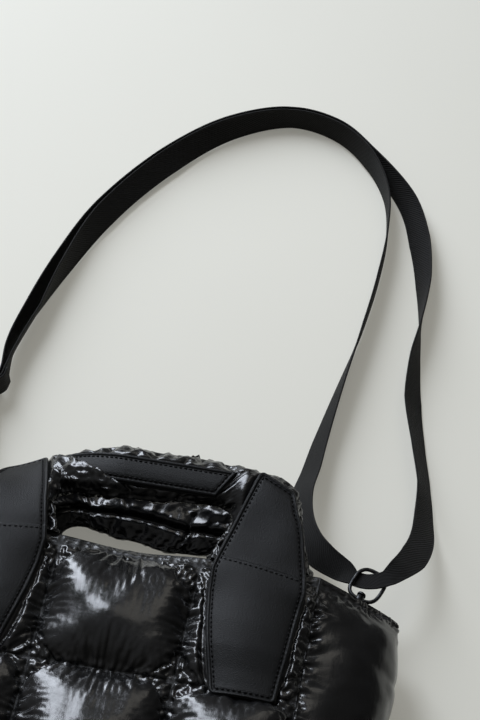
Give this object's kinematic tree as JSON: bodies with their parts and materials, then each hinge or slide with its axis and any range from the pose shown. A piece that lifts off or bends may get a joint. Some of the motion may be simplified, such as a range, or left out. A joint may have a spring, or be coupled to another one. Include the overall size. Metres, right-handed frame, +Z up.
{
  "type": "quilted mini tote bag",
  "caption": "Small padded nylon tote lying on its back, with quilted cells, arched padded handles, leather tabs and a webbing shoulder strap on swivel eyes.",
  "frame": {"origin": "on the flat resting face of the back panel, under the middle of its upper centre cell", "axes": "+X along the bag's width, to the right as seen from above its front, +Y towards the mouth and handles, +Z up out of the front panel"},
  "size_m": [0.3732, 0.6461, 0.1003],
  "materials": {
    "quilted_nylon": "glossy coated nylon over soft padding, gathered at the seams",
    "tab_leather": "smooth fine-grained leather with stitched edges",
    "strap_webbing": "matt twill webbing",
    "gunmetal": "dark satin metal"
  },
  "bodies": {
    "root": {"front_panel": "quilted_nylon", "back_panel": "quilted_nylon", "base_panel": "quilted_nylon", "gusset_left": "quilted_nylon", "gusset_right": "quilted_nylon", "front_handle": "quilted_nylon", "back_handle": "quilted_nylon", "front_grip": "tab_leather", "back_grip": "tab_leather", "front_tab_left": "tab_leather", "front_tab_right": "tab_leather", "back_tab_left": "tab_leather", "back_tab_right": "tab_leather", "side_loop_left": "strap_webbing", "side_loop_right": "strap_webbing", "strap": "strap_webbing", "strap_slider": "gunmetal", "strap_eye_left": "gunmetal", "strap_eye_right": "gunmetal", "strap_hook_left": "gunmetal", "strap_hook_right": "gunmetal"}
  },
  "joints": []
}
